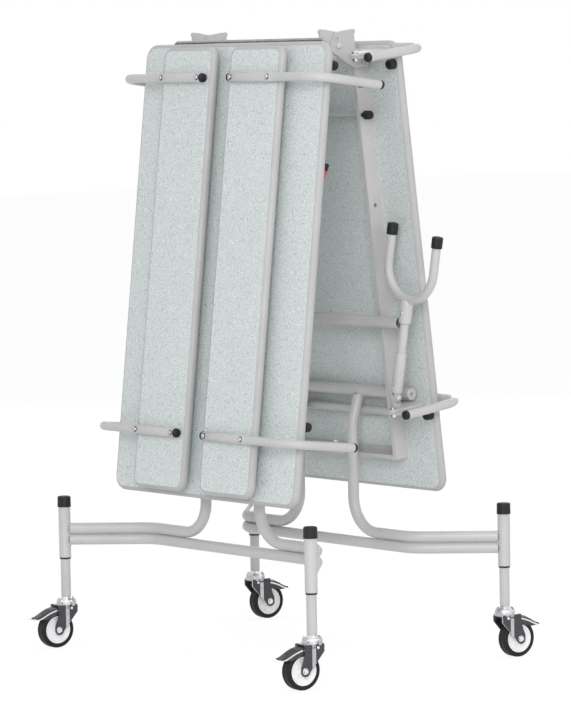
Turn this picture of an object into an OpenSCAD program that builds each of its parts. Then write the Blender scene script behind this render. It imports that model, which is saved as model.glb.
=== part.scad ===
// Folding bench table on casters, drawn folded up and parked.
// Millimetres. X runs across the table, Y along its length, Z up; the floor is Z = 0.
// Each half is drawn lying open, with its fold axis on the X axis and its top facing up,
// and is then stood up by fold_angle. The rear half is the front one turned half round.

/* [Table top] */
// Width of the table top
top_w = 760; // [740:5:800]
// Length of one half of the top
half_l = 1220; // [1200:5:1260]
// Thickness of the top
top_t = 25; // [18:1:28]
// Corner radius of the top
top_corner_r = 40; // [30:1:60]
// Gap between the two halves when open
half_gap = 2; // [1:0.5:4]
// Lean of each half from upright when folded, in degrees
lean = 6.9; // [6.5:0.1:8]
// Height of the fold axis when folded
fold_h = 1640; // [1630:5:1700]
// Depth of the fold axis below the top face
fold_drop = 130; // [125:1:140]

/* [Top frame] */
// Distance between the outer sides of the side rails
rail_span = 514; // [480:2:520]
// Depth of a side rail
rail_d = 45; // [40:1:55]
// Width of a rail's flange against the top
rail_flange = 25; // [20:1:30]
// Width of a rail's free lip
rail_lip = 12; // [8:1:16]
// Sheet thickness of rails and channels
sheet_t = 3; // [2:0.5:4]
// Distance from the fold axis to the near end of the rails
rail_start = 20; // [18:1:30]
// Distance from the fold axis to the far end of the rails
rail_end = 1130; // [1110:5:1160]
// Distance from the fold axis to the upper cross channel
upper_channel_u = 195; // [180:5:230]
// Diameter of the cross bar that the prop rests on
rest_bar_d = 32; // [28:1:34]
// Distance from the prop's pivot to the rest bar
rest_bar_du = 203; // [190:1:215]
// Diameter of the lower brace bar
brace_bar_d = 24; // [20:1:25]
// Distance from the fold axis to the lower brace bar
brace_bar_u = 1004; // [1000:1:1006]
// Diameter of the round hole in each rail
rail_hole_d = 12; // [6:1:16]
// Distance from the fold axis to the rail hole
rail_hole_u = 438; // [420:2:480]

/* [Fold hinge] */
// Thickness of a hinge plate
plate_t = 6; // [4:0.5:6]
// Radius of the plate round the fold pin
plate_eye_r = 24; // [20:1:28]
// Radius of the fold pin
fold_pin_r = 5; // [4:0.5:6]
// Radial play in pins and pivots
running_gap = 0.08; // [0.05:0.01:0.1]

/* [Base frames] */
// Distance between the caster posts across the table
post_span = 1036; // [1000:4:1080]
// Distance of the caster posts from the middle plane
post_y = 342; // [330:2:370]
// Diameter of the foot tubes and uprights
tube_d = 30; // [28:1:32]
// Height of the lower foot tube's centre
lower_foot_h = 297; // [290:1:310]
// Gap between the two foot tubes
foot_gap = 0.6; // [0.4:0.1:2]
// Distance of a foot tube's knee from the table's centre line
knee_x = 345; // [330:5:360]
// Distance of the uprights from the table's centre line
upright_x = 112; // [105:1:130]
// Distance of the uprights from the middle plane
upright_y = 168; // [164:1:176]
// Wall thickness of the tubes
tube_wall = 2; // [1.5:0.25:3]
// Bend radius of the foot tubes
foot_bend_r = 90; // [70:5:100]
// Distance from the fold axis to the pivot tube
pivot_u = 949; // [940:1:960]
// Depth of the pivot tube below the top face
pivot_drop = 47; // [44:1:52]
// Half length of the pivot tube
pivot_reach = 322; // [300:2:324]
// Diameter of the pivot tube
pivot_tube_d = 32; // [31:1:34]

/* [Caster posts] */
// Diameter of the post's outer tube
post_d = 33; // [32:0.5:36]
// Height of the outer tube's lower end
post_step_h = 248; // [235:1:260]
// Diameter of the post's inner stem
stem_d = 27; // [24:0.5:28]
// Height of the stem's lower end
stem_h = 140; // [136:1:146]
// Height of the top of the rubber cap
cap_top_h = 418; // [414:1:422]
// Diameter of the rubber cap
cap_d = 38; // [37.5:0.5:42]
// Height of the rubber cap
cap_l = 30; // [20:1:36]

/* [Casters] */
// Wheel diameter
wheel_d = 100; // [90:1:100]
// Wheel width
wheel_w = 32; // [24:1:32]
// Tyre thickness
tyre_t = 12; // [8:1:14]
// Distance of the axle behind the swivel axis
trail = 36; // [32:1:40]
// Swivel angle of the casters from straight out, in degrees
swivel = 8; // [0:1:12]
// Diameter of the swivel race
race_d = 44; // [40:1:50]

/* [Benches] */
// Width of a bench board
bench_w = 214; // [190:2:214]
// Length of a bench board
bench_l = 1192; // [1150:2:1200]
// Thickness of a bench board
bench_t = 25; // [18:1:25]
// Corner radius of a bench board
bench_corner_r = 30; // [26:1:40]
// Distance of a stowed bench from the centre line
bench_inset = 33; // [28:1:36]
// Gap between a stowed bench and the table top
bench_gap = 18; // [16:1:24]
// Diameter of the bench arm tube
arm_d = 25; // [22:1:25]
// Bend radius of the bench arms
arm_bend_r = 68; // [60:1:76]
// Distance of the arms' down legs beyond the top's edge
arm_clear = 35; // [30:1:40]
// Distance of the arm pivots inside the top's edge
arm_pivot_inset = 28; // [26:1:30]
// Depth of the arm pivots below the fold axis
arm_pivot_drop = 16.6; // [16.2:0.2:20]
// Distance from the fold axis to the front half's upper arms
front_arm_u = 100; // [98:1:112]
// Distance from the fold axis to the rear half's upper arms
rear_arm_u = 28; // [27:1:30]
// Distance between the upper and lower arms of a bench
arm_pitch = 951; // [940:1:953]

/* [Prop] */
// Length of the prop from its pivot to the root of the fork
prop_root_l = 262; // [250:2:270]
// Width of the fork between tube centres
fork_w = 172; // [150:2:180]
// Distance from the prop's pivot to the tips
prop_tip_l = 462; // [440:2:470]
// Diameter of the fork's tube
fork_d = 24; // [22:1:25]
// Diameter of the prop's foot sleeve
sleeve_d = 30; // [28:1:31]
// Outward lean of the prop, in degrees
prop_splay = 11.4; // [11:0.1:12]
// Lean of the prop towards the top, in degrees
prop_pitch = 6.4; // [5:0.1:6.6]
// Distance of the prop's pivot above the lower arm's bracket
prop_offset = 20; // [19:1:24]

/* [Hidden] */

$fn = 48;
eps = 0.01;
bend_lap = 0.4;       // how far a straight run reaches into a bend
bend_step = 0.15;     // how much thinner the straight runs are
piece_gap = 0.4;      // air between pieces that move past each other
seat_gap = 0.05;      // air between a piece and its own seat

// colours, as the photograph shows them
powder_coat = [0.80, 0.78, 0.78];
laminate = [0.79, 0.85, 0.84];
black_rubber = [0.08, 0.08, 0.08];
zinc = [0.72, 0.73, 0.75];
white_nylon = [0.93, 0.93, 0.94];
dark_nylon = [0.22, 0.22, 0.24];
signal_red = [0.72, 0.10, 0.08];

// places in a half's own frame
fold_angle = 90 - lean;
top_z = fold_drop;                       // top face
under_z = top_z - top_t;                 // underside of the top
rail_x = rail_span / 2;                  // outer side of a rail
rail_z = under_z - rail_d;               // free side of a rail
half_start = half_gap / 2;
pivot_z = top_z - pivot_drop;
inner_plate_x = rail_x + 0.4;
outer_plate_x = inner_plate_x + plate_t + piece_gap;
arm_reach = top_w / 2 + arm_clear;
arm_pivot_x = top_w / 2 - arm_pivot_inset;
arm_pivot_z = -arm_pivot_drop;
arm_z = top_z + bench_gap + bench_t + arm_d / 2 + seat_gap;   // centre of a stowed arm's long leg
arm_end_z = -arm_pivot_drop - 20;                  // end of an arm's down leg
lug_t = 6;
arm_bolt_r = 5;
arm_bush_r = 7.5;
bracket_du = lug_t + piece_gap;          // bracket plate's offset from the arm's lug
arm_cap_l = 12;

// world places of the pivot tube
pivot_world_y = -(pivot_u * cos(fold_angle) + pivot_z * sin(fold_angle));
pivot_world_z = fold_h - pivot_u * sin(fold_angle) + pivot_z * cos(fold_angle);
upper_foot_h = lower_foot_h + tube_d + foot_gap;

function unit(v) = v / norm(v);
function turn_at(p, i) = acos(max(-1, min(1, unit(p[i] - p[i - 1]) * unit(p[i + 1] - p[i]))));
function setback(p, i, r) = i == 0 || i == len(p) - 1 ? 0 : r * tan(turn_at(p, i) / 2);

// Moves the drawing so that its X, Y and Z axes lie along a, b and c at o
module on_axes(a, b, c, o) {
  multmatrix([[a[0], b[0], c[0], o[0]], [a[1], b[1], c[1], o[1]], [a[2], b[2], c[2], o[2]], [0, 0, 0, 1]])
    children();
}

// Any direction square to v
function square_to(v) = unit(cross(v, abs(v[2]) < 0.9 ? [0, 0, 1] : [1, 0, 0]));

// Straight round bar or tube from a to b
module rod(a, b, d, wall = 0) {
  w = unit(b - a);
  s = square_to(w);
  on_axes(s, cross(w, s), w, a)
    if (wall > 0)
      difference() {
        cylinder(d = d, h = norm(b - a));
        translate([0, 0, -1]) cylinder(d = d - 2 * wall, h = norm(b - a) + 2);
      }
    else
      cylinder(d = d, h = norm(b - a));
}

// Round bar through the points p, bent to radius r at each inner point.
// The straight runs are a hair thinner than the bends and lap into them.
module bent_tube(p, d, r) {
  n = len(p);
  for (i = [0:n - 2]) {
    w = unit(p[i + 1] - p[i]);
    from = p[i] + w * (setback(p, i, r) - (i == 0 ? 0 : bend_lap));
    to = p[i + 1] - w * (setback(p, i + 1, r) - (i == n - 2 ? 0 : bend_lap));
    rod(from, to, d - bend_step);
  }
  for (i = [1:1:n - 2]) {
    w = unit(p[i] - p[i - 1]);
    up = unit(cross(w, p[i + 1] - p[i]));
    inward = cross(up, w);
    on_axes(-inward, w, up, p[i] - w * setback(p, i, r) + inward * r)
      rotate_extrude(angle = turn_at(p, i), $fn = 96)
        translate([r, 0]) circle(d = d);
  }
}

// Flat board with round corners and a fully rounded edge, one corner at the origin
module board(l, w, t, r) {
  e = t / 2;
  translate([0, 0, e]) {
    translate([0, 0, -e]) linear_extrude(t) {
      translate([r, e]) square([w - 2 * r, l - t]);
      translate([e, r]) square([w - t, l - 2 * r]);
      for (x = [r, w - r], y = [r, l - r]) translate([x, y]) circle(r - e, $fn = 96);
    }
    for (x = [e, w - e]) translate([x, r, 0]) rotate([-90, 0, 0]) cylinder(r = e, h = l - 2 * r);
    for (y = [e, l - e]) translate([r, y, 0]) rotate([0, 90, 0]) cylinder(r = e, h = w - 2 * r);
    for (c = [[w - r, l - r, 0], [r, l - r, 90], [r, r, 180], [w - r, r, 270]])
      translate([c[0], c[1], 0]) rotate([0, 0, c[2]])
        rotate_extrude(angle = 90, $fn = 96) translate([r - e, 0]) circle(e);
  }
}

// Stands a half up: the front half as drawn, the rear half turned half round
module stand_half(rear = false) {
  translate([0, 0, fold_h]) rotate([0, 0, rear ? 180 : 0]) rotate([fold_angle, 0, 0]) children();
}

// Draws its children on both sides of the centre line
module both_sides() {
  children();
  mirror([1, 0, 0]) children();
}

// Top of a half: a laminated board with a full round edge
module top_board() {
  color(laminate)
    difference() {
      translate([-top_w / 2, -half_start - half_l, under_z]) board(half_l, top_w, top_t, top_corner_r);
      both_sides() rail_screw_places()
        translate([0, 0, -1]) cylinder(r = screw_r + seat_gap, h = screw_l + 1.2);
    }
}

screw_r = 2.5;
screw_l = 16;
screw_head_r = 5;
screw_head_t = 2.4;
screw_pitch = 235;
screw_x = rail_x - rail_flange / 2 - 2;

// Screws that hold a rail to the top
module rail_screw_places() {
  for (u = [rail_start + 60:screw_pitch:rail_end - 60]) translate([screw_x, -u, under_z]) children();
}

module wood_screw() {
  translate([0, 0, -sheet_t - screw_head_t]) cylinder(r = screw_head_r, h = screw_head_t);
  translate([0, 0, -sheet_t - eps]) cylinder(r = screw_r, h = sheet_t + screw_l);
}

// One side rail: a channel with its open side inward
module rail() {
  l = rail_end - rail_start;
  difference() {
    translate([0, -rail_end, 0]) {
      translate([rail_x - sheet_t, 0, rail_z]) cube([sheet_t, l, rail_d]);
      translate([rail_x - rail_flange, 0, under_z - sheet_t]) cube([rail_flange, l, sheet_t]);
      translate([rail_x - rail_lip, 0, rail_z]) cube([rail_lip, l, sheet_t]);
    }
    translate([rail_x - rail_flange, -pivot_u, pivot_z]) rotate([0, 90, 0])
      cylinder(d = pivot_tube_d + 2 * running_gap, h = rail_flange * 2);
    translate([rail_x - 10, -rail_hole_u, rail_z + rail_d / 2]) rotate([0, 90, 0])
      cylinder(d = rail_hole_d, h = 20);
    for (u = plate_bolt_u) translate([rail_x - 10, -u, plate_bolt_z]) rotate([0, 90, 0])
      cylinder(r = plate_bolt_r + seat_gap, h = 20);
    rail_screw_places() translate([0, 0, -sheet_t - 1]) cylinder(r = screw_r + seat_gap, h = sheet_t + 2);
  }
}

module side_rails() color(powder_coat) both_sides() rail();

function prop_u() = arm_places(true)[1] - bracket_du - lug_t / 2 - prop_offset;

// End channel, upper channel and brace bar of a half; the rear half also has the prop's rest bar
module cross_members(rear) {
  inner = 2 * (rail_x - sheet_t) - 2 * seat_gap;
  lip_z = rail_z + sheet_t;
  color(powder_coat) {
    // end channel between the rails' far ends, open towards the fold
    translate([-inner / 2, -rail_end, lip_z + seat_gap]) {
      cube([inner, sheet_t, rail_d - 2 * sheet_t - 2 * seat_gap]);
      cube([inner, rail_lip, sheet_t]);
      translate([0, 0, rail_d - 3 * sheet_t - 2 * seat_gap]) cube([inner, rail_flange, sheet_t]);
    }
    // upper channel, a flat bar on edge under the top
    translate([-inner / 2, -upper_channel_u, lip_z + seat_gap])
      cube([inner, sheet_t, rail_d - 2 * sheet_t - 2 * seat_gap]);
    // brace bar between the rails' webs, rest bar across their lips
    brace_z = under_z - sheet_t - piece_gap - brace_bar_d / 2;
    rod([-inner / 2, -brace_bar_u, brace_z], [inner / 2, -brace_bar_u, brace_z], brace_bar_d, tube_wall);
    rest_u = prop_u() - rest_bar_du;
    rest_z = rail_z - rest_bar_d / 2;
    if (rear) rod([-rest_reach, -rest_u, rest_z], [rest_reach, -rest_u, rest_z], rest_bar_d, tube_wall);
  }
}

plate_bolt_u = [34, 56];
plate_bolt_z = rail_z + 20;
plate_bolt_r = 4;
plate_end_u = 66;
plate_wing = 37;
notch_z = rail_z;                        // floor of the notch that the lock bar passes over

// Outline of a hinge plate, seen from the side: X towards the other half, Y up
module plate_outline() {
  difference() {
    union() {
      circle(plate_eye_r);
      polygon([[plate_wing, -6], [plate_wing + 2, 46], [plate_wing - 2, notch_z + 4],
               [plate_wing - 8, notch_z + 5], [plate_wing - 12, notch_z],
               [-rail_start + 4, notch_z], [-rail_start + 2, under_z - 6],
               [-plate_end_u, under_z - 6], [-plate_end_u, rail_z - 8], [-46, 22], [-plate_eye_r + 6, -15],
               [0, -plate_eye_r], [18, -16]]);
      translate([plate_wing - 5, notch_z - 2]) circle(6.5);
    }
    circle(fold_pin_r + running_gap);
    translate([17, -3]) circle(6);
    for (u = plate_bolt_u) translate([-u, plate_bolt_z]) circle(plate_bolt_r + seat_gap);
  }
}

module plate_at(x) {
  translate([x, 0, 0]) rotate([90, 0, 90]) linear_extrude(plate_t) plate_outline();
}

// Hinge plates of a half: against the rail on its right, one plate further out on its left
module hinge_plates() {
  spacer_l = outer_plate_x - rail_x - 2 * seat_gap;
  color(powder_coat) {
    plate_at(inner_plate_x);
    plate_at(-outer_plate_x - plate_t);
    for (u = plate_bolt_u) translate([-rail_x - seat_gap, -u, plate_bolt_z]) rotate([0, -90, 0])
      difference() {
        cylinder(r = 9, h = spacer_l);
        translate([0, 0, -1]) cylinder(r = plate_bolt_r + seat_gap, h = spacer_l + 2);
      }
  }
}

// Hexagon-head bolt with its shank along +Z from under the head, and a nut at reach
module bolt(r, l, head_t = 5, nut = true) {
  translate([0, 0, -head_t]) cylinder(r = 1.75 * r, h = head_t, $fn = 6);
  translate([0, 0, -eps]) cylinder(r = r, h = l);
  if (nut) translate([0, 0, l - head_t - 1]) difference() {
    cylinder(r = 1.75 * r, h = head_t, $fn = 6);
    translate([0, 0, -1]) cylinder(r = r - eps, h = head_t + 2);
  }
}

// Fold pin: a shouldered bolt through both plates
module fold_pin() {
  reach = outer_plate_x + plate_t - inner_plate_x;
  translate([outer_plate_x + plate_t + piece_gap, 0, 0]) rotate([0, -90, 0]) {
    translate([0, 0, -4]) cylinder(r = 8, h = 4);
    cylinder(r = fold_pin_r, h = reach + 2 * piece_gap + 8);
    translate([0, 0, reach + 2 * piece_gap]) cylinder(r = 8.5, h = 7, $fn = 6);
  }
}

neck_x = outer_plate_x + plate_t + 3;    // a bracket on a hinge plate stays narrow as far as here
neck_z = 78;

// Plate that carries an arm's pivot bolt, drawn across the table at its arm's place.
// It starts at root_x: at the rail, or with a narrow neck at a hinge plate.
module arm_bracket(root_x, on_plate) {
  rise = under_z - 12;
  drop = 16;
  root = on_plate ? [[root_x, neck_z], [neck_x, neck_z], [neck_x + 6, rail_z - 8]]
                  : [[root_x, rail_z + 2]];
  translate([0, bracket_du - lug_t / 2, 0]) rotate([90, 0, 0]) translate([0, 0, -lug_t])
    linear_extrude(lug_t) difference() {
      union() {
        polygon([each root, [prop_lug_x - 16, rail_z - 8], [prop_lug_x - 12, prop_lug_z - 12],
                 [arm_pivot_x - drop, arm_pivot_z + 4], [arm_pivot_x - drop, arm_pivot_z],
                 [arm_pivot_x + drop, arm_pivot_z],
                 [arm_pivot_x + drop, rise - 20], [arm_pivot_x, rise], [root_x, rise]]);
        translate([arm_pivot_x, arm_pivot_z]) circle(drop);
      }
      translate([arm_pivot_x, arm_pivot_z]) circle(arm_bolt_r + seat_gap);
    }
}

prop_lug_x = arm_pivot_x - 27;
prop_lug_z = 22;
prop_lug_t = 8;
prop_pin_r = 5;

function arm_places(rear) = [for (more = [0, arm_pitch]) (rear ? rear_arm_u : front_arm_u) + more];

// Brackets of a half; the lower left one of the rear half also carries the prop's lug
module arm_brackets(rear) {
  low = arm_places(rear)[1];
  color(powder_coat) {
    for (u = arm_places(rear), left = [0, 1]) {
      on_plate = u - bracket_du - lug_t / 2 < plate_end_u;
      plate_x = left == 1 ? outer_plate_x : inner_plate_x;
      translate([0, -u, 0]) mirror([left, 0, 0])
        arm_bracket((on_plate ? plate_x + plate_t : rail_x) + seat_gap, on_plate);
    }
    if (rear) difference() {
      union() {
        translate([-prop_lug_x - prop_lug_t / 2, -low + bracket_du + lug_t / 2 - eps, prop_lug_z - 12])
          cube([prop_lug_t, prop_offset + eps, 24]);
        translate([-prop_lug_x - prop_lug_t / 2, -prop_u(), prop_lug_z]) rotate([0, 90, 0])
          cylinder(r = 12, h = prop_lug_t);
      }
      translate([-prop_lug_x - prop_lug_t, -prop_u(), prop_lug_z]) rotate([0, 90, 0])
        cylinder(r = prop_pin_r + running_gap, h = prop_lug_t * 2);
    }
  }
}

// Bolts, screws and stub pins of a half
module hardware(rear) {
  plate_reach = inner_plate_x + plate_t;
  color(zinc) {
    both_sides() rail_screw_places() wood_screw();
    for (u = plate_bolt_u) {
      translate([plate_reach + seat_gap, -u, plate_bolt_z]) rotate([0, -90, 0])
        bolt(plate_bolt_r, plate_reach - rail_x + 12);
      translate([-outer_plate_x - plate_t - seat_gap, -u, plate_bolt_z]) rotate([0, 90, 0])
        bolt(plate_bolt_r, outer_plate_x + plate_t - rail_x + 12);
    }
    // pivot bolts of the bench arms, heads towards the fold
    for (u = arm_places(rear)) both_sides() arm_pivot_bolt(u);
    // pin of the prop, across its lug and both ears
    if (rear) translate([-prop_lug_x, -prop_u(), prop_lug_z]) rotate([0, 90, 0]) {
      translate([0, 0, -prop_pin_reach]) cylinder(r = prop_pin_r, h = 2 * prop_pin_reach);
      for (z = [-prop_pin_reach - 3, prop_pin_reach]) translate([0, 0, z]) cylinder(r = 8, h = 3);
    }
    // fold pins, and stub pins of the lock bar and the release lever
    if (!rear) {
      both_sides() fold_pin();
      both_sides() translate([rail_x + seat_gap, -lock_pivot_u, lock_z]) rotate([0, 90, 0]) {
        cylinder(r = lock_pin_r, h = lock_x - rail_x + 8);
        translate([0, 0, lock_x - rail_x + 7]) cylinder(r = 8, h = 2.5);
      }
      translate([rail_x + seat_gap, -lever_pivot_u, lever_pivot_z]) rotate([0, 90, 0]) {
        cylinder(r = lock_pin_r, h = lever_foot_x + lever_eye_l / 2 + 2 - rail_x);
        translate([0, 0, lever_foot_x + lever_eye_l / 2 + 1 - rail_x]) cylinder(r = 7, h = 2.5);
      }
    }
  }
}

prop_ear_t = 5;
prop_pin_reach = prop_lug_t / 2 + piece_gap + prop_ear_t + piece_gap;

module arm_pivot_bolt(u) {
  grip = 2 * lug_t + piece_gap + 2 * seat_gap;
  translate([arm_pivot_x, -u + bracket_du + lug_t / 2 + seat_gap, arm_pivot_z]) rotate([90, 0, 0]) {
    translate([0, 0, -6]) cylinder(r = 8.5, h = 6, $fn = 6);
    cylinder(r = arm_bolt_r, h = grip + piece_gap + 8);
    translate([0, 0, grip + piece_gap]) cylinder(r = 8.5, h = 7, $fn = 6);
  }
}

buffer_x = top_w / 2 - 17;
buffer_u = [62, 1006];
buffer_d = 28;
buffer_l = 20;
knob_u = 193;

// Rubber buffers under the top, and on stems beside the rails
module buffers() {
  color(black_rubber) both_sides() {
    for (u = buffer_u) translate([buffer_x, -u, under_z - buffer_l])
      cylinder(d = buffer_d, h = buffer_l - seat_gap);
    translate([rail_x + seat_gap, -knob_u, rail_z + 10]) rotate([0, 90, 0]) {
      cylinder(r = 5, h = 12);
      translate([0, 0, 12 - eps]) cylinder(d = 24, h = 22);
    }
  }
}

lock_x = 311;
lock_y = 8;
lock_z = 83;
lock_d = 10;
lock_pivot_u = 76;
lock_pin_r = 5;

// Round bar that drops behind the other half's plates when the table is open
module lock_bar() {
  eye_l = 10;
  color(zinc) difference() {
    union() {
      bent_tube([[-lock_x, -lock_pivot_u, lock_z], [-lock_x, lock_y, lock_z], [lock_x, lock_y, lock_z],
                 [lock_x, -lock_pivot_u, lock_z]], lock_d, 14);
      both_sides() translate([lock_x - eye_l / 2, -lock_pivot_u, lock_z]) rotate([0, 90, 0])
        cylinder(r = 10, h = eye_l);
    }
    both_sides() translate([lock_x - eye_l, -lock_pivot_u, lock_z]) rotate([0, 90, 0])
      cylinder(r = lock_pin_r + running_gap, h = 2 * eye_l);
  }
}

lever_foot_x = 272;
lever_pivot_u = 520;
lever_pivot_z = 80;
lever_top = [302, -313, 38];
lever_d = 16;
lever_eye_l = 18;

// Hand lever that lifts the lock bar, with a grip along most of its length
module release_lever() {
  foot = [lever_foot_x, -lever_pivot_u, lever_pivot_z];
  color(signal_red) difference() {
    union() {
      rod(foot, lever_top, lever_d);
      translate(foot - [lever_eye_l / 2, 0, 0]) rotate([0, 90, 0]) cylinder(r = 11, h = lever_eye_l);
    }
    translate(foot - [20, 0, 0]) rotate([0, 90, 0]) cylinder(r = lock_pin_r + running_gap, h = 40);
  }
}

bench_bolt_x = [70, 221];
bench_bolt_r = 4;
bench_bolt_l = 18;

// Places of the bolts that hold a bench to its arms, right-hand side
module bench_bolt_places(rear) {
  for (u = arm_places(rear), x = bench_bolt_x)
    translate([x, -u, top_z + bench_gap + bench_t - bench_bolt_l]) children();
}

// Stowed bench of a half, right-hand side
module bench_board(rear) {
  color(laminate) difference() {
    translate([bench_inset, -half_start - (half_l + bench_l) / 2, top_z + bench_gap])
      board(bench_l, bench_w, bench_t, bench_corner_r);
    bench_bolt_places(rear) cylinder(r = bench_bolt_r + seat_gap, h = bench_t);
  }
}

// Both arms of a bench with their pivot lugs and the bench's bolts, right-hand side.
// Each bolt is drawn in one with its tube.
module bench_arms(rear) {
  color(powder_coat) {
    for (u = arm_places(rear)) translate([0, -u, 0]) {
      bent_tube([[arm_inner_end + arm_cap_l, 0, arm_z], [arm_reach, 0, arm_z],
                 [arm_reach, 0, arm_end_z + arm_cap_l]], arm_d, arm_bend_r);
      difference() {
        translate([0, lug_t / 2, 0]) rotate([90, 0, 0]) linear_extrude(lug_t) {
          polygon([[arm_pivot_x, arm_pivot_z + 14], [arm_reach - 8, arm_pivot_z + 42],
                   [arm_reach - 8, arm_pivot_z - 2], [arm_pivot_x, arm_pivot_z - 14]]);
          translate([arm_pivot_x, arm_pivot_z]) circle(14);
        }
        translate([arm_pivot_x, lug_t, arm_pivot_z]) rotate([90, 0, 0])
          cylinder(r = arm_bush_r + running_gap, h = 2 * lug_t);
      }
    }
    bench_bolt_places(rear) {
      cylinder(r = bench_bolt_r, h = bench_bolt_l + arm_d);
      translate([0, 0, bench_bolt_l + arm_d - 2]) cylinder(r = 7, h = 6);
    }
  }
}

arm_inner_end = 50;

// Rubber plugs in the four ends of a bench's arms, right-hand side
module arm_caps(rear) {
  color(black_rubber) for (u = arm_places(rear)) translate([0, -u, 0]) {
    translate([arm_inner_end, 0, arm_z]) rotate([0, 90, 0]) cylinder(d = arm_d, h = arm_cap_l);
    translate([arm_reach, 0, arm_end_z]) cylinder(d = arm_d, h = arm_cap_l);
  }
}

// Bushes between a bench's two lugs and their pivot bolts, right-hand side
module arm_bushes(rear) {
  color(dark_nylon) for (u = arm_places(rear))
    translate([arm_pivot_x, -u + lug_t / 2, arm_pivot_z]) rotate([90, 0, 0]) difference() {
      cylinder(r = arm_bush_r, h = lug_t);
      translate([0, 0, -1]) cylinder(r = arm_bolt_r + running_gap, h = lug_t + 2);
    }
}

// Draws a left-hand bench group as the mirror of the right-hand one
module side(left) mirror([left ? 1 : 0, 0, 0]) children();

// Places the prop's own frame: its foot at the origin, running up +Z, the fork across X
module on_prop() {
  lean_dir = unit([-tan(prop_splay), 1, tan(prop_pitch)]);
  across = unit(cross([0, 0, 1], lean_dir));
  on_axes(across, cross(lean_dir, across), lean_dir, [-prop_lug_x, -prop_u(), prop_lug_z]) children();
}

socket_d = 34;
socket_l = 53;
sleeve_l = 110;
tip_l = 30;
tip_d = 30;

// Prop with a foot clevis, a sleeve, a thin tube, a socket and a fork
module prop() {
  bow_r = fork_w / 2;
  bow_z = prop_root_l + fork_d / 2;
  color(powder_coat) {
    difference() {
      union() {
        on_prop() {
          translate([0, 0, 18]) cylinder(d = sleeve_d, h = sleeve_l);
          translate([0, 0, 18]) cylinder(d = fork_d, h = prop_root_l - 18);
          translate([0, 0, prop_root_l - socket_l]) cylinder(d = socket_d, h = socket_l + fork_d / 2);
          bent_tube([[-bow_r, 0, prop_tip_l - tip_l + 22], [-bow_r, 0, bow_z], [bow_r, 0, bow_z],
                     [bow_r, 0, prop_tip_l - tip_l + 22]], fork_d, bow_r - 0.5);
        }
        for (x = [prop_lug_t / 2 + piece_gap, -prop_lug_t / 2 - piece_gap - prop_ear_t])
          translate([-prop_lug_x + x, -prop_u(), prop_lug_z]) rotate([90, 0, 90])
            linear_extrude(prop_ear_t) {
              circle(10);
              translate([0, -9]) square([24, 20]);
            }
      }
      translate([-prop_lug_x - 30, -prop_u(), prop_lug_z]) rotate([0, 90, 0])
        cylinder(r = prop_pin_r + running_gap, h = 60);
    }
  }
}

// Rubber tips on the prop's fork
module prop_tips() {
  color(black_rubber) on_prop() for (x = [-fork_w / 2, fork_w / 2])
    translate([x, 0, prop_tip_l - tip_l]) difference() {
      cylinder(d = tip_d, h = tip_l);
      translate([0, 0, -1]) cylinder(d = fork_d + 2 * seat_gap, h = 23 + seat_gap);
    }
}

rest_reach = prop_lug_x + rest_bar_du * tan(prop_splay) - socket_d / 2 / cos(prop_splay) - piece_gap;

// Turns a base group half round for the rear frame
module base_end(rear) rotate([0, 0, rear ? 180 : 0]) children();

module post_places() for (x = [-post_span / 2, post_span / 2]) translate([x, -post_y, 0]) children();

// Lower foot tube, from post to post
module foot_tube(rear) {
  x = post_span / 2;
  color(powder_coat) base_end(rear) difference() {
    bent_tube([for (p = [[-x, -post_y], [-knee_x, -upright_y], [knee_x, -upright_y], [x, -post_y]])
               [p[0], p[1], lower_foot_h]], tube_d, foot_bend_r);
    post_places() translate([0, 0, 200]) cylinder(d = post_d, h = 200);
  }
}

// Upper foot tubes, each bent up into an upright that ends at the pivot tube across both
module uprights(rear) {
  pivot_tube(rear);
  color(powder_coat) base_end(rear) difference() {
    both_sides()
      bent_tube([[post_span / 2, -post_y, upper_foot_h], [knee_x, -upright_y, upper_foot_h],
                 [upright_x, -upright_y, upper_foot_h], [upright_x, -upright_y, pivot_world_z - 90],
                 [upright_x, pivot_world_y, pivot_world_z]], tube_d, foot_bend_r);
    post_places() translate([0, 0, 200]) cylinder(d = post_d, h = 200);
    translate([-pivot_reach, pivot_world_y, pivot_world_z]) rotate([0, 90, 0])
      cylinder(d = pivot_tube_d + 2 * seat_gap, h = 2 * pivot_reach);
  }
}

end_hole_r = 4;
end_plug_l = 20;

// Pivot tube that a half turns on, with a plugged and drilled end on each side
module pivot_tube(rear) {
  color(powder_coat) base_end(rear)
    translate([-pivot_reach, pivot_world_y, pivot_world_z]) rotate([0, 90, 0]) difference() {
      cylinder(d = pivot_tube_d, h = 2 * pivot_reach);
      translate([0, 0, end_plug_l])
        cylinder(d = pivot_tube_d - 2 * tube_wall, h = 2 * (pivot_reach - end_plug_l));
      translate([0, 0, -1]) cylinder(r = end_hole_r, h = 2 * pivot_reach + 2);
    }
}

stud_r = 6;
stud_l = 40;

// Caster posts: an outer tube and, sliding in it, a stem drilled for the caster's stud
module posts(rear) {
  stem_top = post_step_h + 50;
  color(powder_coat) base_end(rear) post_places() {
    translate([0, 0, post_step_h]) difference() {
      cylinder(d = post_d, h = cap_top_h - 4 - post_step_h);
      translate([0, 0, -1]) cylinder(d = stem_d + 2 * seat_gap, h = cap_top_h);
    }
    translate([0, 0, stem_h]) difference() {
      cylinder(d = stem_d, h = stem_top - stem_h);
      translate([0, 0, -1]) cylinder(r = stud_r + running_gap, h = stud_l + 2);
      translate([0, 0, stud_l + 15]) cylinder(d = stem_d - 2 * tube_wall, h = stem_top);
    }
  }
}

module post_caps(rear) {
  color(black_rubber) base_end(rear) post_places() translate([0, 0, cap_top_h - cap_l]) difference() {
    cylinder(d = cap_d, h = cap_l);
    translate([0, 0, -1]) cylinder(d = post_d + 2 * seat_gap, h = cap_l - 4 + 1 + seat_gap);
  }
}

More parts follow.
